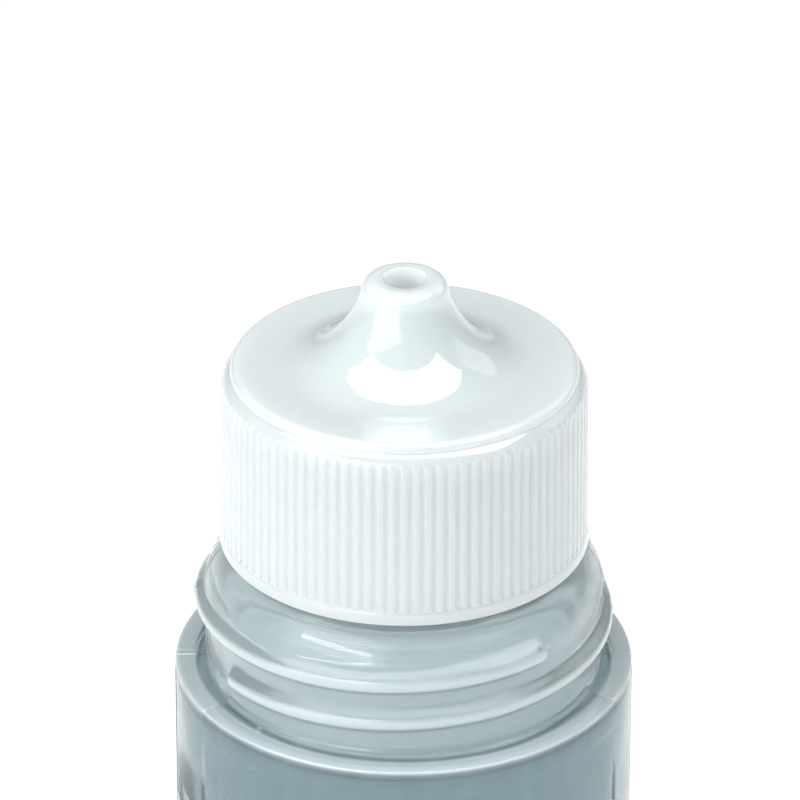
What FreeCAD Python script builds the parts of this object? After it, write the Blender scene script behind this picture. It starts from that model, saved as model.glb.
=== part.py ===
import FreeCAD, Part
import math
import os

Vector = FreeCAD.Vector

# Squeeze bottle with a stepped, twice-threaded neck, and a screw closure that carries the spout.
# Millimetres. +Z runs up the bottle's axis from the table, and the front faces -Y.

# Body
shoulder_width = 2.3  # overcap neck to the body's side
body_height = 80.0  # table to the rim, where the shoulder begins
body_wall = 1.2
foot_round = 2.5
foot_width = 1.2  # flat ring that the bottle stands on
push_up = 1.6  # rise of the base's centre above the table
base_bow = 0.45
rim_round = 0.2
mark_width = 0.6  # raised strips that the two halves of the mould leave
mark_proud = 0.12
mark_sunk = 0.4

# Wide lower neck, which takes an overcap
overcap_neck_step = 1.85  # ledge's edge to the neck's wall
overcap_neck_height = 6.7  # rim to the neck's bead
overcap_neck_bead = 0.1  # how far the bead stands out
overcap_neck_top = 3.5  # bead to the ledge under the closure
overcap_neck_bow = 0.25
neck_wall = 1.35
ledge_inset = 0.69  # how far the ledge's edge lies inside the closure's skirt
ledge_wall = 1.4
neck_root_round = 0.4
overcap_thread_depth = 0.85
overcap_crest_width = 0.85
overcap_flank_angle = 36.0  # from level
overcap_thread_rise = 3.13  # rim to the ridge's middle at the front
overcap_thread_start = -59.0  # degrees round from the front
overcap_thread_turns = 1.287

# Narrow upper neck, inside the closure
mouth_r = 9.0
mouth_chamfer = 1.0  # where the mouth opens into the wide neck
mouth_bow = 0.9
closure_neck_wall = 1.75
closure_neck_height = 12.2  # ledge to the lip
neck_thread_depth = 1.15
lip_round = 0.3
neck_thread_turns = 1.25
neck_thread_drop = 1.8  # lip to the ridge's middle at its upper end

# Threads
turns_per_inch = 8.0
pitch = 25.4 / turns_per_inch
thread_base_width = 1.55
thread_crest_width = 0.65
thread_root_gap = 0.25  # neck's crest to the closure's wall
thread_crest_gap = 0.3  # closure's crest to the neck's wall
thread_flank_gap = 0.15
ridge_sunk = 0.25  # how far a ridge is set into its wall
closure_thread_before = 0.75  # turns of the closure's ridge below the start of the neck's
closure_thread_turns = 1.75

# Closure
skirt_gap = 0.22  # ledge to the skirt's bottom edge
skirt_wall = 1.31  # at the ribs' top
skirt_band_height = 0.9
skirt_band_step = 0.09  # how far the plain band stands out past the ribs
rib_lean = 0.13  # how much wider the ribs are at the bottom
rib_count = 96
rib_top_margin = 1.55  # closure's top face down to the ribs' top corners
flute_r = 0.275
flute_depth = 0.3
flute_run_out = 1.0  # how far the grooves' line runs on through the bevel
top_thickness = 1.45
top_face_inset = 1.21  # flat top's edge to the ribs
top_edge_round = 0.55
bevel_fall = 0.65  # top face down to the bevel
bevel_bow = 0.08
skirt_chamfer = 0.5
skirt_draft = 0.03
past = 1.0  # how far a cutting shape runs beyond the face it opens

# Spout
spout_height = 6.9  # top face to the tip
tip_wall = 1.62
tip_round = 1.0
orifice_r = 1.58
orifice_length = 3.1
flare_width = 6.2  # tip's side to where the flare runs out into the top face
flare_waist_rise = 3.84
flare_waist_out = 0.35
flare_knee_out = 2.85

# Metering insert, pressed into the spout from below
insert_step = 0.72  # orifice to the insert's side
insert_length = 3.6
press = 0.03
drop_hole_r = 0.45
funnel_wall = 0.8
funnel_depth = 1.8
inlet_out = 1.3

# Sealing washer on the lip
washer_thickness = 1.0
washer_inside = 0.4  # how far it reaches into the mouth
washer_outside = 0.85  # how far it reaches past the neck's wall

# Heights that follow from the sizes above
rim_z = body_height
bead_z = rim_z + overcap_neck_height
ledge_z = bead_z + overcap_neck_top
lip_z = ledge_z + closure_neck_height
skirt_z = ledge_z + skirt_gap
ceiling_z = lip_z + washer_thickness
top_z = ceiling_z + top_thickness
tip_z = top_z + spout_height
band_z = skirt_z + skirt_band_height
rib_top_z = top_z - rib_top_margin
seat_z = tip_z - orifice_length
inlet_z = seat_z - insert_length

# Radii that follow, from the mouth outwards
closure_neck_r = mouth_r + closure_neck_wall
closure_crest_r = closure_neck_r + neck_thread_depth
closure_root_r = closure_crest_r + thread_root_gap
closure_inner_crest_r = closure_neck_r + thread_crest_gap
rib_top_r = closure_root_r + skirt_wall
rib_bottom_r = rib_top_r + rib_lean
skirt_band_r = rib_bottom_r + skirt_band_step
top_face_r = rib_top_r - top_face_inset
ledge_r = rib_bottom_r - ledge_inset
overcap_neck_r = ledge_r + overcap_neck_step
neck_inside_r = overcap_neck_r - neck_wall
overcap_crest_r = overcap_neck_r + overcap_thread_depth
body_r = overcap_neck_r + shoulder_width
tip_r = orifice_r + tip_wall
flare_knee_r = tip_r + flare_knee_out
flare_r = tip_r + flare_width
insert_r = orifice_r + insert_step
funnel_r = insert_r - funnel_wall


def point(r, z):
    return Vector(r, 0, z)


def line(start, end):
    return Part.LineSegment(start, end).toShape()


def arc(start, middle, end):
    return Part.Arc(start, middle, end).toShape()


def bowed(start, end, bow):
    """An arc from start to end that swells by bow to the right of its way."""
    way = (end - start).normalize()
    right = Vector(way.z, 0, -way.x)
    return arc(start, (start + end) / 2 + right * bow, end)


def round_corner(centre, radius, from_angle, to_angle):
    """An arc in the section plane, with its angles in degrees from level."""
    angles = [from_angle, (from_angle + to_angle) / 2, to_angle]
    spots = []
    for angle in angles:
        turn = math.radians(angle)
        spots.append(centre + Vector(radius * math.cos(turn), 0, radius * math.sin(turn)))
    return arc(*spots)


def joined(pieces):
    """One closed wire from edges and bare points, which straight lines link in order."""
    edges = []
    last = None
    first = None
    for piece in pieces:
        is_edge = isinstance(piece, Part.Shape)
        start = piece.Vertexes[0].Point if is_edge else piece
        end = piece.Vertexes[-1].Point if is_edge else piece
        if last is not None and last.distanceToPoint(start) > 1e-6:
            edges.append(line(last, start))
        if is_edge:
            edges.append(piece)
        if first is None:
            first = start
        last = end
    if last.distanceToPoint(first) > 1e-6:
        edges.append(line(last, first))
    return Part.Wire(edges)


def turned(pieces):
    """The solid that a closed section makes when it turns about the bottle's axis."""
    face = Part.Face(joined(pieces))
    return face.revolve(Vector(0, 0, 0), Vector(0, 0, 1), 360)


def ridge(root_r, crest_r, base_width, crest_width, middle_z, start_angle, turns):
    """A helical ridge from root_r to crest_r, set a little into the wall it stands on."""
    slope = (base_width - crest_width) / 2 / abs(crest_r - root_r)
    sunk_r = root_r - math.copysign(ridge_sunk, crest_r - root_r)
    sunk_half = base_width / 2 + ridge_sunk * slope
    corners = [
        point(sunk_r, -sunk_half),
        point(crest_r, -crest_width / 2),
        point(crest_r, crest_width / 2),
        point(sunk_r, sunk_half),
    ]
    section = joined(corners)
    helix = Part.makeHelix(pitch, pitch * turns, root_r)
    sweep = Part.BRepOffsetAPI.MakePipeShell(Part.Wire(helix.Edges))
    sweep.setFrenetMode(True)
    sweep.add(section)
    sweep.build()
    sweep.makeSolid()
    solid = sweep.shape()
    solid.rotate(Vector(0, 0, 0), Vector(0, 0, 1), start_angle)
    solid.translate(Vector(0, 0, middle_z))
    return solid


def bottle_outside():
    foot_r = body_r - foot_round
    foot_inner_r = foot_r - foot_width
    rim_corner = point(body_r - rim_round, rim_z - rim_round)
    root_corner = point(overcap_neck_r + neck_root_round, rim_z + neck_root_round)
    lip_corner = point(closure_neck_r - lip_round, lip_z - lip_round)
    bead = point(overcap_neck_r + overcap_neck_bead, bead_z)
    return [
        bowed(point(0, push_up), point(foot_inner_r, 0), -base_bow),
        round_corner(point(foot_r, foot_round), foot_round, -90, 0),
        round_corner(rim_corner, rim_round, 0, 90),
        round_corner(root_corner, neck_root_round, -90, -180),
        point(overcap_neck_r, bead_z - 2 * overcap_neck_bead),
        bowed(bead, point(ledge_r, ledge_z), overcap_neck_bow),
        point(closure_neck_r, ledge_z),
        round_corner(lip_corner, lip_round, 0, 90),
        point(0, lip_z),
    ]


def bottle_inside():
    foot_r = body_r - foot_round
    hollow_r = body_r - body_wall
    floor_start = point(0, push_up + body_wall)
    floor_end = point(foot_r - foot_width, body_wall)
    neck_corner = point(neck_inside_r, bead_z - 2 * overcap_neck_bead)
    mouth_corner = point(mouth_r + mouth_chamfer, ledge_z - ledge_wall)
    return [
        bowed(floor_start, floor_end, -base_bow),
        round_corner(point(foot_r, foot_round), foot_round - body_wall, -90, 0),
        point(hollow_r, rim_z - body_wall - rim_round),
        point(hollow_r - rim_round, rim_z - body_wall),
        point(neck_inside_r, rim_z - body_wall),
        bowed(neck_corner, mouth_corner, mouth_bow),
        point(mouth_r, ledge_z - ledge_wall + mouth_chamfer),
        point(mouth_r, lip_z + past),
        point(0, lip_z + past),
    ]


def mould_marks():
    """The raised strips up the body's two sides and across its shoulder."""
    depth = mark_proud + mark_sunk
    side_height = body_height - 3 * foot_round
    across_length = body_r - overcap_neck_r
    side = Part.makeBox(depth, mark_width, side_height, point(body_r - mark_sunk, 2 * foot_round))
    across = Part.makeBox(across_length, mark_width, depth, point(overcap_neck_r, rim_z - mark_sunk))
    marks = []
    for angle in (0, 180):
        for strip in (side, across):
            copy = strip.copy()
            copy.translate(Vector(0, -mark_width / 2, 0))
            copy.rotate(Vector(0, 0, 0), Vector(0, 0, 1), angle)
            marks.append(copy)
    return marks


def bottle():
    overcap_rise = overcap_crest_r - overcap_neck_r
    flank = overcap_rise * math.tan(math.radians(overcap_flank_angle))
    overcap_thread = ridge(
        overcap_neck_r,
        overcap_crest_r,
        overcap_crest_width + 2 * flank,
        overcap_crest_width,
        rim_z + overcap_thread_rise + pitch * overcap_thread_start / 360,
        overcap_thread_start - 90,
        overcap_thread_turns,
    )
    neck_thread = ridge(
        closure_neck_r,
        closure_crest_r,
        thread_base_width,
        thread_crest_width,
        neck_thread_start_z(),
        0,
        neck_thread_turns,
    )
    solid = turned(bottle_outside())
    for added in [overcap_thread, neck_thread] + mould_marks():
        solid = solid.fuse(added)
    return solid.cut(turned(bottle_inside())).removeSplitter()


def neck_thread_start_z():
    return lip_z - neck_thread_drop - pitch * neck_thread_turns


def closure_thread_start_z():
    flank_to_flank = (thread_base_width + thread_crest_width) / 2
    drop = flank_to_flank + thread_flank_gap
    return neck_thread_start_z() - drop - pitch * closure_thread_before


def spout_flare():
    """The concave curve from the tip down into the top face."""
    curve = Part.BezierCurve()
    poles = [
        point(tip_r, tip_z - tip_round),
        point(tip_r + flare_waist_out, top_z + flare_waist_rise),
        point(flare_knee_r, top_z),
        point(flare_r, top_z),
    ]
    curve.setPoles(poles)
    return curve.toShape()


def closure_outside():
    tip_corner = point(tip_r - tip_round, tip_z - tip_round)
    edge_corner = point(top_face_r, top_z - top_edge_round)
    bevel_start = point(top_face_r + top_edge_round, top_z - bevel_fall)
    return [
        point(0, tip_z),
        round_corner(tip_corner, tip_round, 90, 0),
        spout_flare(),
        round_corner(edge_corner, top_edge_round, 90, 0),
        bowed(bevel_start, point(rib_top_r, rib_top_z), -bevel_bow),
        point(rib_bottom_r, band_z + skirt_draft),
        point(skirt_band_r - skirt_draft, band_z),
        point(skirt_band_r, skirt_z),
        point(0, skirt_z),
    ]


def closure_inside():
    return [
        point(0, skirt_z - past),
        point(closure_root_r + skirt_chamfer, skirt_z - past),
        point(closure_root_r + skirt_chamfer, skirt_z),
        point(closure_root_r, skirt_z + skirt_chamfer),
        point(closure_root_r, ceiling_z),
        point(insert_r + inlet_out, ceiling_z),
        point(insert_r, inlet_z),
        point(insert_r, seat_z),
        point(orifice_r, seat_z),
        point(orifice_r, tip_z + past),
        point(0, tip_z + past),
    ]


def flutes():
    """The grooves between the skirt's ribs: round at the bottom, open through the bevel at the top."""
    inset = flute_depth - flute_r
    low = point(rib_bottom_r - inset, band_z + flute_r)
    high = point(rib_top_r - inset, rib_top_z)
    length = low.distanceToPoint(high) + flute_run_out
    shaft = Part.makeCylinder(flute_r, length, low, high - low)
    groove = shaft.fuse(Part.makeSphere(flute_r, low))
    grooves = []
    for number in range(rib_count):
        copy = groove.copy()
        copy.rotate(Vector(0, 0, 0), Vector(0, 0, 1), 360 / rib_count * number)
        grooves.append(copy)
    return grooves


def nozzle_closure():
    solid = turned(closure_outside()).cut(turned(closure_inside()))
    thread = ridge(
        closure_root_r,
        closure_inner_crest_r,
        thread_base_width,
        thread_crest_width,
        closure_thread_start_z(),
        -360 * closure_thread_before,
        closure_thread_turns,
    )
    solid = solid.fuse(thread)
    return solid.cut(flutes())


def metering_insert():
    outer_r = insert_r + press
    return turned(
        [
            point(drop_hole_r, seat_z),
            point(outer_r, seat_z),
            point(outer_r, inlet_z),
            point(funnel_r, inlet_z),
            point(drop_hole_r, inlet_z + funnel_depth),
        ]
    )


def sealing_washer():
    inner_r = mouth_r - washer_inside
    outer_r = closure_neck_r + washer_outside
    return turned(
        [
            point(inner_r, lip_z),
            point(outer_r, lip_z),
            point(outer_r, ceiling_z),
            point(inner_r, ceiling_z),
        ]
    )


def main():
    os.makedirs("parts", exist_ok=True)
    makers = {
        "bottle": bottle,
        "nozzle_closure": nozzle_closure,
        "metering_insert": metering_insert,
        "sealing_washer": sealing_washer,
    }
    for name, make in makers.items():
        shape = make()
        shape.exportStep("parts/" + name + ".step")
        print(name, "solids", len(shape.Solids), "valid", shape.isValid(), "volume %.1f" % shape.Volume)


main()
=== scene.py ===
import math

import bmesh
import bpy
import numpy as np
from mathutils import Matrix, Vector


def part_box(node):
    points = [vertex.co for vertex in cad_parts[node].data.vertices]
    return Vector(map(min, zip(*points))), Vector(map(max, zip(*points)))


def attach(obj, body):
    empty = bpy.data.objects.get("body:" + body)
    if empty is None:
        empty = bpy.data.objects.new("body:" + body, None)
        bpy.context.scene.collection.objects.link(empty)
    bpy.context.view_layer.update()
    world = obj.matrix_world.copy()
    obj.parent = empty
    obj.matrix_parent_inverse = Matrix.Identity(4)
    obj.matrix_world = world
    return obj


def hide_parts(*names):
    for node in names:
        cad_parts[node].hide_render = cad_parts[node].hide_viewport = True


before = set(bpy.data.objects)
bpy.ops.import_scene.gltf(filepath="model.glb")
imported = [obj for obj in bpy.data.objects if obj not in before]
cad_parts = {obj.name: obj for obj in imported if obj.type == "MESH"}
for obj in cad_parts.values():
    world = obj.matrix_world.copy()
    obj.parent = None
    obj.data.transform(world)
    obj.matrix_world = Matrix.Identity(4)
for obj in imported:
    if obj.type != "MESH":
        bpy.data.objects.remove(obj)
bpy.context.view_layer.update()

mm = 0.001
front = -90.0  # degrees about the axis, seen from above
turn = 2 * math.pi

closureLow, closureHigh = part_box("nozzle_closure")
washerLow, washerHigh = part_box("sealing_washer")
insertLow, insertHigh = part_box("metering_insert")

skirtZ = closureLow.z / mm
tipZ = closureHigh.z / mm
lipZ = washerLow.z / mm
ceilingZ = washerHigh.z / mm
seatZ = insertHigh.z / mm
inletZ = insertLow.z / mm
skirtAboveRim = 10.42
rimZ = skirtZ - skirtAboveRim
print("frame loaded, rim at", round(rimZ, 2), "mm")


def straight(start, end, count):
    across, up = end[0] - start[0], end[1] - start[1]
    return [(start[0] + across * k / count, start[1] + up * k / count) for k in range(1, count + 1)]


def rounded(centre, radius, fromAngle, toAngle, count):
    spots = []
    for k in range(count + 1):
        a = math.radians(fromAngle + (toAngle - fromAngle) * k / count)
        spots.append((centre[0] + radius * math.cos(a), centre[1] + radius * math.sin(a)))
    return spots


def bowed(start, end, bow, count):
    along = np.array(end, float) - np.array(start, float)
    length = np.hypot(*along)
    side = np.array([along[1], -along[0]]) / length
    spots = []
    for k in range(1, count + 1):
        t = k / count
        spot = np.array(start, float) + along * t + side * bow * 4 * t * (1 - t)
        spots.append((spot[0], spot[1]))
    return spots


def flared(poles, count):
    p = np.array(poles, float)
    spots = []
    for k in range(1, count + 1):
        t = k / count
        early = (1 - t) ** 3 * p[0] + 3 * (1 - t) ** 2 * t * p[1]
        spot = early + 3 * (1 - t) * t * t * p[2] + t ** 3 * p[3]
        spots.append((spot[0], spot[1]))
    return spots


def smooth(x):
    x = np.clip(x, 0, 1)
    return x * x * (3 - 2 * x)


def ring(angles, r, z, depth=0.0):
    # depth marks where the colour is painted lighter and the plastic milkier: 0 for a plain wall, 1 for a
    # ridge or corner; on ridges and ticks it is partly thicker plastic and partly painted highlight, at
    # the rim corner and lip it is painted highlight and painted light, and in the closure's bore it is
    # painted light
    r, z, depth = (np.broadcast_to(value, angles.shape) for value in (r, z, depth))
    return np.stack([r * np.cos(angles), r * np.sin(angles), z, depth], 1)


def ringMesh(name, rings, closed):
    firsts = np.cumsum([0] + [len(points) for points in rings]).tolist()
    points = np.concatenate(rings)
    faces = []
    count = len(rings)
    for k in range(count if closed else count - 1):
        a, b = k, (k + 1) % count
        na, nb = len(rings[a]), len(rings[b])
        if na < nb:
            a, b, na, nb = b, a, nb, na
        if nb == 1:
            for i in range(na):
                faces.append((firsts[a] + i, firsts[a] + (i + 1) % na, firsts[b]))
            continue
        step = na // nb
        for i in range(nb):
            face = [firsts[b] + (i + 1) % nb, firsts[b] + i]
            face += [firsts[a] + (i * step + j) % na for j in range(step + 1)]
            faces.append(tuple(face))
    mesh = bpy.data.meshes.new(name)
    mesh.from_pydata((points[:, :3] * mm).tolist(), [], faces)
    mesh.attributes.new("depth", "FLOAT", "POINT").data.foreach_set("value", points[:, 3])
    work = bmesh.new()
    work.from_mesh(mesh)
    bmesh.ops.recalc_face_normals(work, faces=work.faces)
    work.to_mesh(mesh)
    work.free()
    mesh.polygons.foreach_set("use_smooth", [True] * len(mesh.polygons))
    made = bpy.data.objects.new(name, mesh)
    bpy.context.scene.collection.objects.link(made)
    print(name, len(mesh.vertices), "points", len(mesh.polygons), "faces")
    return made


def threadHeight(angles, z, thread):
    # a helical ridge's height over its root, with round ends; it runs below nought away from the ridge
    height = np.full(angles.shape, -9.0)
    last = thread["turns"] * turn
    first = np.mod(angles - math.radians(thread["start"]), turn)
    for lap in range(-1, int(thread["turns"]) + 2):
        along = first + lap * turn
        middle = thread["startZ"] + pitch * np.clip(along, 0, last) / turn
        beyond = np.maximum(np.maximum(-along, along - last), 0) * thread["radius"]
        fall = (np.hypot(z - middle, beyond) - thread["crest"] / 2) / thread["flank"]
        height = np.maximum(height, thread["height"] * (1 - softMax(fall, 0, thread["soft"])))
    return height


def softMax(a, b, soft):
    # the larger of the two, with a rounded change from one to the other
    return 0.5 * (a + b + np.sqrt((a - b) ** 2 + soft * soft))


# the upper part of a thread ridge: partly thicker, milkier plastic and partly a painted sheen on the crest
def crestMilkAndSheen(height, thread):
    return smooth((height / thread["height"] - 0.72) / 0.25)


pitch = 25.4 / 8

closure = {
    "ribs": 96,
    "fluteR": 0.275,
    "fluteDepth": 0.135,
    "ribTopR": 13.46,
    "ribLean": 0.13,
    "bandR": 13.67,
    "bandHeight": 0.9,
    "skirtEdge": 0.08,
    "plainTop": 1.55,
    "topThickness": 1.45,
    "topFaceR": 12.25,
    "edgeRound": 0.55,
    "bevelFall": 0.68,
    "tipR": 3.2,
    "tipRound": 1.0,
    "orificeR": 1.58,
    "orificeRound": 0.05,
    "flareWaist": (0.35, 3.84),
    "flareKnee": 2.85,
    "flareWidth": 6.2,
    "mouthR": 12.75,
    "wallR": 12.15,
    "wallTopRound": 0.3,
    "insertR": 2.3,
    "inletOut": 1.3,
}


def fluteAngles(count):
    half = fluteHalf() / (turn * closure["ribTopR"] / count)
    right = [0.11, 0.21, half - 0.02, half + 0.015, 0.42]  # columns stand close at the groove's edge
    steps = [-0.5] + [-step for step in reversed(right)] + [0] + right
    angles = [(k + 0.5 + s) / count * turn for k in range(count) for s in steps]
    return np.array(angles), np.array(steps * count)


def fluteHalf():
    # half a groove's width where it meets the ribs' tops
    c = closure
    return math.sqrt(c["fluteR"] ** 2 - (c["fluteDepth"] - c["fluteR"]) ** 2)


def fluteRow(angles, across, r, ribR, z, lowZ):
    # the outline's radius, or the groove's floor where that lies deeper; the grooves' lower ends are round
    c = closure
    sideways = across * turn * c["ribTopR"] / c["ribs"]
    off = np.hypot(sideways, max(lowZ + c["fluteR"] - z, 0)) / c["fluteR"]
    depth = c["fluteDepth"] - c["fluteR"] + c["fluteR"] * np.sqrt(np.clip(1 - off ** 2, 0, 1))
    depth = np.where(off < 1, np.maximum(depth, 0), 0)
    return ring(angles, np.minimum(r, ribR - depth), z)


def makeClosure():
    c = closure
    topZ = ceilingZ + c["topThickness"]
    ribTopZ = topZ - c["plainTop"]
    bandZ = skirtZ + c["bandHeight"]
    ribBottomR = c["ribTopR"] + c["ribLean"]
    fine, across = fluteAngles(c["ribs"])
    mid = fine[::4]
    rings = []
    # orifice and tip
    edge = c["orificeRound"]
    path = straight((c["orificeR"], seatZ), (c["orificeR"], tipZ - edge), 10)
    path += rounded((c["orificeR"] + edge, tipZ - edge), edge, 180, 90, 4)[1:]
    # the bore is marked in the depth attribute and painted lighter: painted light inside the hole
    rings += [ring(mid, r, z, 1) for r, z in path]
    path = straight(path[-1], (c["tipR"] - c["tipRound"], tipZ), 4)
    path += rounded((c["tipR"] - c["tipRound"], tipZ - c["tipRound"]), c["tipRound"], 90, 0, 8)[1:]
    # flare, top face and its edge
    waistOut, waistRise = c["flareWaist"]
    flareEnd = (c["tipR"] + c["flareWidth"], topZ)
    waist = (c["tipR"] + waistOut, topZ + waistRise)
    knee = (c["tipR"] + c["flareKnee"], topZ)
    path += flared([path[-1], waist, knee, flareEnd], 32)
    path += straight(path[-1], (c["topFaceR"] - 0.04, topZ), 6) + [(c["topFaceR"], topZ)]
    path += rounded((c["topFaceR"], topZ - c["edgeRound"]), c["edgeRound"], 90, 0, 8)[1:]
    path.append((c["topFaceR"] + c["edgeRound"] - 0.02, topZ - c["bevelFall"]))
    rings += [ring(mid, r, z) for r, z in path]
    # bevel and ribs: the grooves between the ribs run out through the bevel
    lowZ = bandZ + 0.1
    span = ribTopZ - lowZ
    path = bowed(path[-1], (c["ribTopR"], ribTopZ), -0.08, 14)
    ends = [0.01, 0.06, 0.12, 0.19, 0.27, 0.36]
    drops = [(span - ends[-1]) * k / 6 for k in range(1, 7)]
    drops += [span - end for end in reversed(ends[:-1])]
    path += [(c["ribTopR"] + c["ribLean"] * drop / span, ribTopZ - drop) for drop in drops]
    for r, z in path:
        ribR = c["ribTopR"] + c["ribLean"] * (ribTopZ - z) / span
        rings.append(fluteRow(fine, across, r, ribR, z, lowZ))
    # plain band and the skirt's bottom edge
    bandR = c["bandR"]
    path = [(ribBottomR, bandZ + 0.07), (bandR - 0.05, bandZ + 0.02), (bandR - 0.02, bandZ - 0.05)]
    edge = c["skirtEdge"]
    path += straight(path[-1], (bandR, skirtZ + edge), 4)
    path += rounded((bandR - edge, skirtZ + edge), edge, 0, -90, 5)[1:]
    path += [(c["mouthR"], skirtZ), (c["mouthR"] - 0.1, skirtZ + 0.02)]
    rings += [ring(mid, r, z) for r, z in path]
    # inside: chamfer, wall with its thread, ceiling, inlet
    roundR = c["wallTopRound"]
    wallTop = ceilingZ - roundR
    wallLow = skirtZ + 0.5
    count = 56
    for k in range(count + 1):
        z = wallLow + (wallTop - wallLow) * k / count
        height = softMax(threadHeight(mid, z, innerThread), 0, 0.08)
        rings.append(ring(mid, c["wallR"] - height, z))
    path = rounded((c["wallR"] - roundR, wallTop), roundR, 0, 90, 4)[1:]
    path += straight(path[-1], (c["insertR"] + c["inletOut"], ceilingZ), 6)
    path += straight(path[-1], (c["insertR"] + 0.02, inletZ), 4)
    path += straight(path[-1], (c["insertR"] + 0.02, seatZ), 6)
    rings += [ring(mid, r, z) for r, z in path]
    return ringMesh("closureShell", rings, True)


innerThread = {
    "start": -270.0, "turns": 1.75, "startZ": lipZ - 1.8 - pitch * 2.0 - 1.25,
    "crest": 0.55, "flank": 0.45, "height": 1.05, "soft": 0.15, "radius": 11.5,
}


bottle = {
    "bodyR": 17.05,
    "wall": 1.2,
    "footRound": 2.5,
    "footWidth": 1.2,
    "pushUp": 1.6,
    "baseBow": -0.45,
    "neckR": 14.75,
    "neckHeight": 6.7,
    "bead": 0.1,
    "neckTop": 3.5,
    "neckBow": 0.25,
    "ledgeR": 12.9,
    "upperNeckR": 10.75,
    "mouthR": 9.0,
    "neckInsideR": 13.4,
    "panelSink": 0.07,
    "panelDrop": 2.2,
    "cornerLeft": 29.5,
    "cornerRight": 22.9,
    "seamHalf": 0.34,
    "seamHeight": 0.07,
    "seamLine": 0.07,
    "seamFill": 0.35,
    "rightSeamLine": 0.08,
    "rightSeamShare": 0.8,
    "sideRimRound": 0.25,
    "sideCoveR": 0.35,
    "frontRimRound": 0.12,
    "frontCoveR": 0.9,
    # lightness painted at the rim's corner and the shoulder's lip: painted highlight and painted light
    "rimGlow": 0.4,
    "cornerGlow": 0.8,
    "lipGlow": 1.0,
    "tickProud": 0.1,
    "tickPitch": 6.3,
    "tickCount": 10,
    "firstTickDrop": 11.0,
    "tickHalfHeight": 0.22,
    "tickMiddle": -76.0,
    "tickHalfWidths": (8.0, 5.0),
}

overcapThread = {
    # the line stops 3.2 degrees short at both ends, to leave room for the rounding
    "start": front - 55.8, "turns": (360 + 41.2 + 55.8) / 360, "startZ": rimZ + 3.13 - pitch * 55.8 / 360,
    "crest": 0.8, "flank": 0.66, "height": 0.85, "soft": 0.3, "radius": 15.2,
}

neckThread = {
    "start": 0.0, "turns": 1.25, "startZ": lipZ - 1.8 - pitch * 1.25,
    "crest": 0.65, "flank": 0.45, "height": 1.13, "soft": 0.15, "radius": 11.3,
}


def bottleAngles():
    # even columns, closer together at the mould's seams and the shoulder's corners
    special = {0: 1.9, 180: 1.9, 180 + bottle["cornerLeft"]: 1.3, 180 - bottle["cornerLeft"]: 1.3,
               360 - bottle["cornerRight"]: 1.3, bottle["cornerRight"]: 1.3}
    columns = 360
    dense = []
    for middle, half in special.items():
        dense += [middle + half * k / 8 for k in range(-8, 9)]
    even = [360 * k / columns for k in range(columns)]
    kept = [a for a in even if all(abs((a - m + 180) % 360 - 180) > h + 0.3 for m, h in special.items())]
    angles = np.unique(np.round(np.mod(np.array(kept + dense), 360), 4))
    while len(angles) % 3:
        gaps = np.diff(np.append(angles, angles[0] + 360))
        widest = int(np.argmax(gaps))
        angles = np.sort(np.append(angles, angles[widest] + gaps[widest] / 2))
    return np.radians(angles)


def seam(angles, r):
    # thin raised lines where the mould's halves met: two on the left, one on the right
    left = (np.mod(angles, turn) - math.pi) * r
    right = (np.mod(angles + math.pi, turn) - math.pi) * r
    bump = np.zeros(angles.shape)
    for middle in (-bottle["seamHalf"], bottle["seamHalf"]):
        bump += np.exp(-((left - middle) / bottle["seamLine"]) ** 2)
    bump += bottle["seamFill"] * (np.abs(left) < bottle["seamHalf"])
    bump += bottle["rightSeamShare"] * np.exp(-(right / bottle["rightSeamLine"]) ** 2)
    return bump * bottle["seamHeight"]


def sideShare(angles, soft=0.7):
    # 1 beside the mould's parting plane, 0 towards the front and back
    degrees = np.degrees(np.mod(angles, turn))
    fromLeft = np.abs(degrees - 180)
    fromRight = np.minimum(degrees, 360 - degrees)
    left = 1 - smooth((fromLeft - bottle["cornerLeft"]) / soft + 0.5)
    right = 1 - smooth((fromRight - bottle["cornerRight"]) / soft + 0.5)
    return np.maximum(left, right)


def tickShare(angles, z):
    # moulded graduations on the left: a long bar and a short bar by turns
    b = bottle
    fromFront = np.degrees(np.mod(angles - math.radians(front) + math.pi, turn) - math.pi)
    number = round((rimZ - b["firstTickDrop"] - z) / b["tickPitch"])
    if not 0 <= number < b["tickCount"]:
        return np.zeros(angles.shape)
    off = abs(rimZ - b["firstTickDrop"] - number * b["tickPitch"] - z)
    half = b["tickHalfWidths"][number % 2]
    across = smooth((half - np.abs(fromFront - b["tickMiddle"])) / 0.8 + 0.5)
    return across * smooth((b["tickHalfHeight"] - off) / 0.1 + 0.5)


def mixRows(angles, side, facing):
    b = bottle
    share = sideShare(angles)
    rings = []
    for (sideR, sideZ), (faceR, faceZ) in zip(side, facing):
        r = sideR * share + faceR * (1 - share)
        z = sideZ * share + faceZ * (1 - share)
        # painted highlight along the rim's corner and painted light on the shoulder's lip, both carried in
        # the depth attribute
        corner = np.exp(-(np.hypot(r - b["bodyR"], z) / b["rimGlow"]) ** 2)
        lip = smooth((r - b["neckR"] - 0.6) / 0.4) * smooth((z + 0.35) / 0.2)
        glow = np.maximum(b["cornerGlow"] * corner, b["lipGlow"] * lip)
        raised = seam(angles, 16)
        rings.append(ring(angles, r + 0.3 * raised, rimZ + z + raised, glow))
    return rings


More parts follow.
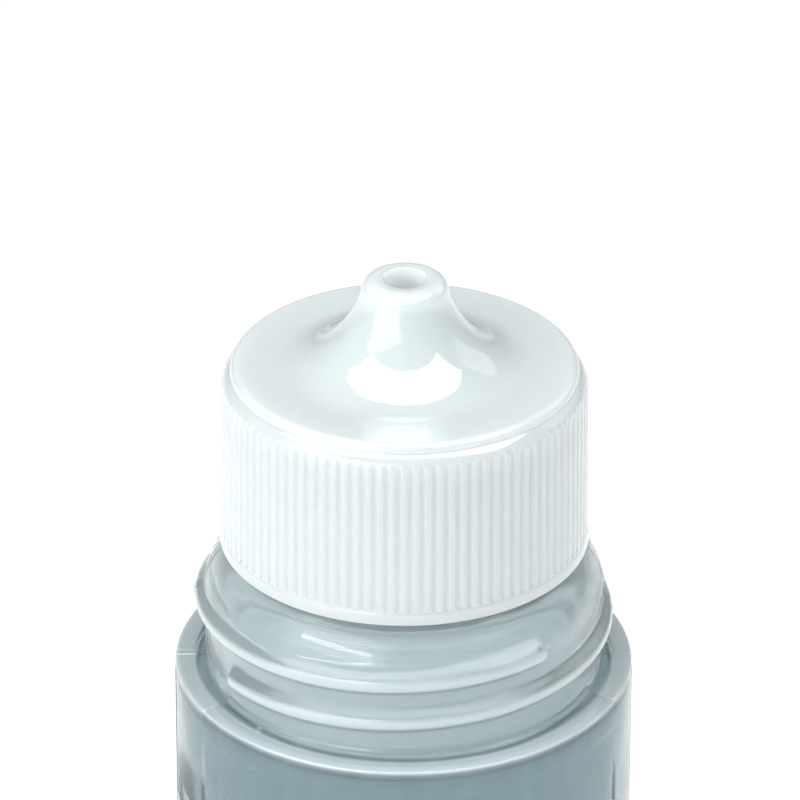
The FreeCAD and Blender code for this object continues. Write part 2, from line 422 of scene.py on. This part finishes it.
def makeBottle():
    b = bottle
    fine = bottleAngles()
    mid = fine[::3]
    rings = []
    # base and foot
    footR = b["bodyR"] - b["footRound"]
    footInnerR = footR - b["footWidth"]
    path = [(0.001, b["pushUp"])]
    path += bowed((0, b["pushUp"]), (footInnerR, 0), b["baseBow"], 14)
    path += straight(path[-1], (footR, 0), 2)
    path += rounded((footR, b["footRound"]), b["footRound"], -90, 0, 10)[1:]
    rings.append(np.array([[0, 0, b["pushUp"], 0]]))
    rings += [ring(mid, r, z) for r, z in path[1:]]
    # body side, with a sunk panel that stops short of the rim
    rows = [b["footRound"] + 0.5, 4, 4.7, 5.4, 6.2]
    rows += [rimZ - drop for drop in (6, 3.2, 2.9, 2.6, 2.4, 2.2, 2.0, 1.8, 1.5, 1.1)]
    for number in range(b["tickCount"]):
        middle = rimZ - b["firstTickDrop"] - number * b["tickPitch"]
        for side in (-1, 1):
            rows += [middle + side * b["tickHalfHeight"] * share for share in (0.77, 1, 1.23)]
    for z in sorted(rows):
        sink = b["panelSink"] * smooth((rimZ - b["panelDrop"] - z) / 0.3 + 0.5) * smooth((z - 4) / 2)
        sink = sink * (1 - sideShare(fine, 3))
        raised = tickShare(fine, z)
        r = b["bodyR"] - sink + np.maximum(seam(fine, 17), raised * b["tickProud"])
        # the ticks are painted lighter and milkier: partly raised plastic, partly painted highlight
        rings.append(ring(fine, r, z, raised))
    # rim and shoulder: flat beside the seams, coved at the front and back
    bodyR, neckR = b["bodyR"], b["neckR"]
    rim, cove = b["sideRimRound"], b["sideCoveR"]
    side = [(bodyR, -0.85), (bodyR, -0.3)] + rounded((bodyR - rim, -0.15), rim, 0, 90, 6)[1:]
    side += straight(side[-1], (neckR + cove + 0.05, 0.1), 6)
    side += rounded((neckR + cove, cove + 0.1), cove, -90, -180, 5)
    rim, cove = b["frontRimRound"], b["frontCoveR"]
    facing = [(bodyR - 0.02, -0.6), (bodyR - 0.05, -0.3)]
    facing += rounded((bodyR - 0.05 - rim, -0.12), rim, 0, 90, 6)[1:]
    facing += bowed(facing[-1], (neckR + 1, -0.06), 0.07, 6)
    facing += rounded((neckR + cove + 0.01, cove), cove, -90, -180, 5)
    rings += mixRows(fine, side, facing)
    # wide neck with the overcap's thread
    low = rings[-1][:, 2]
    beadZ = rimZ + b["neckHeight"]
    count = 56
    for k in range(1, count + 1):
        z = low + (beadZ - low) * k / count
        beadShare = smooth((z - (beadZ - 0.5)) / 0.5)
        height = threadHeight(fine, z, overcapThread)
        r = b["neckR"] + softMax(b["bead"] * beadShare, height, 0.12)
        rings.append(ring(fine, r + seam(fine, 15), z, crestMilkAndSheen(height, overcapThread)))
    # the neck's rounded top, up to the ledge
    top = bowed((b["neckR"] + b["bead"], beadZ), (b["ledgeR"], beadZ + b["neckTop"]), b["neckBow"], 14)
    for r, z in top:
        height = threadHeight(fine, z, overcapThread)
        r = softMax(r, b["neckR"] + height, 0.12)
        rings.append(ring(fine, r + seam(fine, 14), z, crestMilkAndSheen(height, overcapThread)))
    ledgeZ = beadZ + b["neckTop"]
    path = [(b["ledgeR"] - 0.15, ledgeZ + 0.02), (b["upperNeckR"] + 0.3, ledgeZ)]
    path += rounded((b["upperNeckR"] + 0.25, ledgeZ + 0.25), 0.25, -90, -180, 3)
    rings += [ring(mid, r, z) for r, z in path]
    # narrow neck with the closure's thread, and the lip
    low = ledgeZ + 0.3
    count = 52
    for k in range(1, count + 1):
        z = low + (lipZ - 0.3 - low) * k / count
        height = softMax(threadHeight(mid, z, neckThread), 0, 0.08)
        rings.append(ring(mid, b["upperNeckR"] + height, z))
    path = rounded((b["upperNeckR"] - 0.3, lipZ - 0.3), 0.3, 0, 90, 4)[1:]
    path += rounded((b["mouthR"] + 0.2, lipZ - 0.2), 0.2, 90, 180, 4)
    # inside
    roofZ = ledgeZ - 1.4
    insideR = b["bodyR"] - b["wall"]
    floorZ = b["pushUp"] + b["wall"]
    path += straight(path[-1], (b["mouthR"], roofZ + 1), 8)
    path += bowed(path[-1], (b["mouthR"] + 1, roofZ), -0.2, 4)
    path += bowed(path[-1], (b["neckInsideR"], beadZ - 0.4), -0.9, 8)
    path += straight(path[-1], (b["neckInsideR"], rimZ - 0.2), 4)
    path += rounded((b["neckInsideR"] + 0.6, rimZ - 0.6), 0.6, 180, 270, 5)
    path += straight(path[-1], (insideR - 0.8, rimZ - 1.2), 2)
    path += rounded((insideR - 0.8, rimZ - 2.0), 0.8, 90, 0, 5)[1:]
    path += straight(path[-1], (insideR, b["footRound"]), 10)
    path += rounded((footR, b["footRound"]), b["footRound"] - b["wall"], 0, -90, 6)[1:]
    path += straight(path[-1], (footInnerR, b["wall"]), 2)
    path += list(reversed(bowed((0, floorZ), path[-1], b["baseBow"], 12)))[1:]
    rings += [ring(mid, r, z) for r, z in path]
    rings.append(np.array([[0, 0, floorZ, 0]]))
    return ringMesh("bottleShell", rings, False)


class Signal:
    # one socket of a shader, which sums and products can be written with

    def __init__(self, paint, socket):
        self.paint = paint
        self.socket = socket

    def maths(self, operation, *values):
        made = self.paint.add("ShaderNodeMath", {"operation": operation}, dict(enumerate(values)))
        return made["Value"]

    def __add__(self, other):
        return self.maths("ADD", self, other)

    def __radd__(self, other):
        return self.maths("ADD", other, self)

    def __sub__(self, other):
        return self.maths("SUBTRACT", self, other)

    def __rsub__(self, other):
        return self.maths("SUBTRACT", other, self)

    def __mul__(self, other):
        return self.maths("MULTIPLY", self, other)

    def __rmul__(self, other):
        return self.maths("MULTIPLY", other, self)

    def __truediv__(self, other):
        return self.maths("DIVIDE", self, other)

    def __rtruediv__(self, other):
        return self.maths("DIVIDE", other, self)


class Made:
    # a node's outputs, by name

    def __init__(self, paint, node):
        self.paint = paint
        self.node = node

    def __getitem__(self, name):
        return Signal(self.paint, self.node.outputs[name])


class Paint:
    # a material that is built from nodes

    def __init__(self, name):
        self.material = bpy.data.materials.new(name)
        self.material.use_nodes = True
        self.tree = self.material.node_tree
        self.tree.nodes.clear()

    def add(self, kind, settings=None, sockets=None):
        node = self.tree.nodes.new(kind)
        for name, value in (settings or {}).items():
            setattr(node, name, value)
        for name, value in (sockets or {}).items():
            if isinstance(value, Signal):
                self.tree.links.new(value.socket, node.inputs[name])
            else:
                node.inputs[name].default_value = value
        return Made(self, node)

    def mix(self, factor, first, second):
        made = self.add("ShaderNodeMix", {"data_type": "RGBA"}, {"Factor": factor})
        for index, value in ((6, first), (7, second)):
            if isinstance(value, Signal):
                self.tree.links.new(value.socket, made.node.inputs[index])
            else:
                made.node.inputs[index].default_value = (*value, 1)
        return Signal(self, made.node.outputs[2])

    def noise(self, where, scale, detail=2.0, rough=0.5):
        sockets = {"Vector": where, "Scale": scale, "Detail": detail, "Roughness": rough}
        return self.add("ShaderNodeTexNoise", {}, sockets)["Fac"]

    def finish(self, surface):
        self.add("ShaderNodeOutputMaterial", {}, {"Surface": surface})
        return self.material


whitePlastic = {
    "light": (0.67, 0.735, 0.745),
    "shade": (0.63, 0.70, 0.71),
    # painted light: the lighter tone of the orifice's bore
    "orifice": (0.80, 0.85, 0.86),
    "dents": 0.05,
    "roughness": 0.03,
    "coat": 1.0,
    "coatRoughness": 0.03,
    "coatIor": 1.65,
    "subsurface": 1.0,
    "scatterScale": 0.0035,
    "ior": 1.5,
}


def makeWhitePlastic():
    w = whitePlastic
    paint = Paint("milkyPlastic")
    place = paint.add("ShaderNodeTexCoord")["Object"]
    clouds = paint.noise(place, 160, 3)
    speckle = paint.noise(place, 2600, 2)
    drawn = paint.add("ShaderNodeMapping", {}, {"Vector": place, "Scale": (1, 1, 0.12)})["Vector"]
    streaks = paint.noise(drawn, 900, 3)
    tone = clouds * 0.6 + streaks * 0.4
    # painted light: the bore, marked by the depth attribute, takes the lighter orifice tone instead of a
    # hole's shade
    paintedBoreLight = paint.add("ShaderNodeAttribute", {"attribute_name": "depth"})["Fac"]
    colour = paint.mix(paintedBoreLight, paint.mix(tone, w["shade"], w["light"]), w["orifice"])
    height = speckle * 0.25 + streaks * 0.75
    dents = {"Strength": w["dents"], "Distance": 0.0004, "Height": height}
    bump = paint.add("ShaderNodeBump", {}, dents)["Normal"]
    rough = w["roughness"] + clouds * 0.04
    shader = paint.add("ShaderNodeBsdfPrincipled", {}, {
        "Base Color": colour, "Roughness": rough, "Normal": bump, "IOR": w["ior"],
        "Subsurface Weight": w["subsurface"], "Subsurface Radius": (1, 1, 1),
        "Subsurface Scale": w["scatterScale"], "Coat Weight": w["coat"],
        "Coat Roughness": w["coatRoughness"], "Coat IOR": w["coatIor"],
    })
    return paint.finish(shader["BSDF"])


clearPlastic = {
    "body": (0.28, 0.39, 0.42),
    "neck": (0.64, 0.735, 0.75),
    # ridge colour and ridgeMilk make ridges, rim corner, lip and ticks milkier: partly thicker plastic,
    # partly painted highlight
    "ridge": (0.57, 0.65, 0.665),
    "cloud": 0.16,
    "dents": 0.1,
    "bodyRoughness": 0.32,
    "neckRoughness": 0.12,
    "ridgePolish": 0.06,
    "bodyTint": (0.53, 0.64, 0.67),
    "neckTint": (0.89, 0.955, 0.965),
    "clearRoughness": 0.05,
    "bodyClearShare": 0.8,
    "neckClearShare": 0.66,
    "clearIor": 1.42,
    "ridgeMilk": 0.8,
    "subsurface": 1.0,
    "scatterScale": 0.0007,
    "bodyCoat": 0.12,
    "neckCoat": 0.5,
    "ridgeCoat": 0.8,
    "coatRoughness": 0.04,
    "coatIor": 1.95,
    "streaks": 2.4,
    "ior": 1.5,
}


def makeClearPlastic():
    p = clearPlastic
    paint = Paint("naturalPlastic")
    place = paint.add("ShaderNodeTexCoord")["Object"]
    rings = paint.add("ShaderNodeMapping", {}, {"Vector": place, "Scale": (1, 1, 22)})["Vector"]
    drawn = paint.add("ShaderNodeMapping", {}, {"Vector": place, "Scale": (1, 1, 0.08)})["Vector"]
    z = paint.add("ShaderNodeSeparateXYZ", {}, {"Vector": place})["Z"]
    aboveRim = paint.add("ShaderNodeClamp", {}, {"Value": (z - rimZ * mm) / (0.4 * mm)})["Result"]
    depth = paint.add("ShaderNodeAttribute", {"attribute_name": "depth"})["Fac"]
    wavy = (paint.noise(rings, 100, 4) - 0.5) * p["streaks"] + 0.5
    streaks = paint.add("ShaderNodeClamp", {}, {"Value": wavy})["Result"]
    flow = streaks * aboveRim + paint.noise(drawn, 420, 2) * (1 - aboveRim)
    clouds = paint.noise(place, 90, 2)
    grain = paint.noise(place, 1500, 2)
    wall = paint.mix(aboveRim, p["body"], p["neck"])
    # random clouds and flow streaks plus the depth attribute; the lighter, milkier ridges, rim, lip and
    # ticks are partly thicker plastic and partly painted highlight
    cloudsAndPaintedSheen = paint.add("ShaderNodeClamp", {}, {"Value": depth + (flow + clouds - 1) * p["cloud"]})["Result"]
    colour = paint.mix(cloudsAndPaintedSheen, wall, p["ridge"])
    height = flow * 0.8 + grain * 0.2
    dents = {"Strength": p["dents"], "Distance": 0.0005, "Height": height}
    bump = paint.add("ShaderNodeBump", {}, dents)["Normal"]
    polish = p["neckRoughness"] - p["bodyRoughness"]
    rough = p["bodyRoughness"] + aboveRim * polish + (flow - 0.5) * 0.06
    rough = rough - cloudsAndPaintedSheen * p["ridgePolish"]
    coat = p["bodyCoat"] + streaks * aboveRim * p["neckCoat"] + cloudsAndPaintedSheen * p["ridgeCoat"]
    coat = paint.add("ShaderNodeClamp", {}, {"Value": coat})["Result"]
    milky = paint.add("ShaderNodeBsdfPrincipled", {}, {
        "Base Color": colour, "Roughness": rough, "Normal": bump, "IOR": p["ior"],
        "Subsurface Weight": p["subsurface"], "Subsurface Radius": (1, 1, 1),
        "Subsurface Scale": p["scatterScale"], "Coat Weight": coat,
        "Coat Roughness": p["coatRoughness"], "Coat IOR": p["coatIor"],
    })
    tint = paint.mix(aboveRim, p["bodyTint"], p["neckTint"])
    clear = paint.add("ShaderNodeBsdfPrincipled", {}, {
        "Base Color": tint, "Roughness": p["clearRoughness"], "IOR": p["clearIor"],
        "Transmission Weight": 1.0,
    })
    share = p["bodyClearShare"] + aboveRim * (p["neckClearShare"] - p["bodyClearShare"])
    share = (1 - cloudsAndPaintedSheen * p["ridgeMilk"]) * share
    mixed = paint.add("ShaderNodeMixShader", {}, {0: share, 1: milky["BSDF"], 2: clear["BSDF"]})
    return paint.finish(mixed["Shader"])


foamWasher = {
    # painted shade: the darker tone in the cells' hollows
    "hollow": (0.78, 0.78, 0.76),
    "wall": (0.93, 0.93, 0.91),
    "cellsPerMetre": 2200,
    "roughness": 0.7,
}


def makeFoam():
    f = foamWasher
    paint = Paint("foamWasher")
    place = paint.add("ShaderNodeTexCoord")["Object"]
    sockets = {"Vector": place, "Scale": f["cellsPerMetre"]}
    cells = paint.add("ShaderNodeTexVoronoi", {}, sockets)["Distance"]
    # the cells' low centres are painted darker: painted shade in the pores
    colour = paint.mix(cells, f["hollow"], f["wall"])
    dents = {"Strength": 0.4, "Distance": 0.0001, "Height": cells}
    bump = paint.add("ShaderNodeBump", {}, dents)["Normal"]
    sockets = {"Base Color": colour, "Roughness": f["roughness"], "Normal": bump}
    shader = paint.add("ShaderNodeBsdfPrincipled", {}, sockets)
    return paint.finish(shader["BSDF"])


paleFloor = {
    "dark": (0.72, 0.72, 0.72),
    "pale": (0.74, 0.74, 0.74),
    "roughness": 0.6,
    "glow": 0.3,
}


def makeFloorPaint():
    f = paleFloor
    paint = Paint("paleFloor")
    place = paint.add("ShaderNodeTexCoord")["Object"]
    tone = paint.noise(place, 3, 2)
    colour = paint.mix(tone, f["dark"], f["pale"])
    shader = paint.add("ShaderNodeBsdfPrincipled", {}, {
        "Base Color": colour, "Roughness": f["roughness"],
        "Emission Color": (1, 1, 1, 1), "Emission Strength": f["glow"],
    })
    return paint.finish(shader["BSDF"])


view = {
    "elevation": 28.62,
    "distance": 0.5032,
    "aimAboveRim": 21.63,
    "lens": 308.6,
    "shift": -0.00575,
    "roll": 0.19,
}


def makeCamera():
    elevation = math.radians(view["elevation"])
    aimZ = (rimZ + view["aimAboveRim"]) * mm
    camera = bpy.data.objects.new("camera", bpy.data.cameras.new("camera"))
    camera.data.lens = view["lens"]
    camera.data.sensor_width = 36
    camera.data.shift_x = view["shift"]
    camera.data.clip_start = 0.01
    reach = view["distance"]
    camera.location = (0, -reach * math.cos(elevation), aimZ + reach * math.sin(elevation))
    tilt = Matrix.Rotation(math.pi / 2 - elevation, 3, "X")
    roll = Matrix.Rotation(math.radians(view["roll"]), 3, "Z")
    camera.rotation_euler = (tilt @ roll).to_euler()
    bpy.context.scene.collection.objects.link(camera)
    bpy.context.scene.camera = camera


lights = {
    # name: azimuth left of the front, elevation, distance, width, height, brightness
    "window": (42, 17, 0.7, 0.8, 0.52, 1.05),
    "strip": (40, 22, 0.68, 0.5, 0.06, 6.0),
    "overhead": (0, 80, 0.75, 1.7, 0.6, 2.3),
    "rightFill": (-122, 27, 0.9, 0.6, 0.35, 0.5),
}
skyStrength = 0.3
skyColour = (0.95, 0.98, 1, 1)


def makeLights():
    aimZ = (rimZ + 15) * mm
    for name, (azimuth, elevation, distance, width, height, brightness) in lights.items():
        a, e = math.radians(azimuth), math.radians(elevation)
        lamp = bpy.data.objects.new(name, bpy.data.lights.new(name, "AREA"))
        lamp.data.shape = "RECTANGLE"
        lamp.data.size = width
        lamp.data.size_y = height
        lamp.data.energy = 4 * brightness * width * height  # even brightness over the panel
        lamp.location = (
            -distance * math.cos(e) * math.sin(a),
            -distance * math.cos(e) * math.cos(a),
            aimZ + distance * math.sin(e),
        )
        lamp.rotation_euler = (math.pi / 2 - e, 0, -a)
        bpy.context.scene.collection.objects.link(lamp)
    world = bpy.data.worlds.new("studio")
    world.use_nodes = True
    back = world.node_tree.nodes["Background"]
    back.inputs["Color"].default_value = skyColour
    back.inputs["Strength"].default_value = skyStrength
    bpy.context.scene.world = world


def makeFloor():
    bpy.ops.mesh.primitive_plane_add(size=6)
    floor = bpy.context.object
    floor.name = "floor"
    floor.data.materials.append(makeFloorPaint())


def dress(node, material):
    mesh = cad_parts[node].data
    mesh.materials.clear()
    mesh.materials.append(material)


makeCamera()
makeLights()
makeFloor()
print("studio ready")

white = makeWhitePlastic()
clear = makeClearPlastic()
foam = makeFoam()
print("materials ready")

closureShell = makeClosure()
closureShell.data.materials.append(white)
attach(closureShell, "closure_body")
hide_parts("nozzle_closure")

bottleShell = makeBottle()
bottleShell.data.materials.append(clear)
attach(bottleShell, "bottle_body")
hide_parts("bottle")

dress("metering_insert", white)
dress("sealing_washer", foam)
print("pieces ready")

bpy.context.scene.view_settings.view_transform = "Standard"
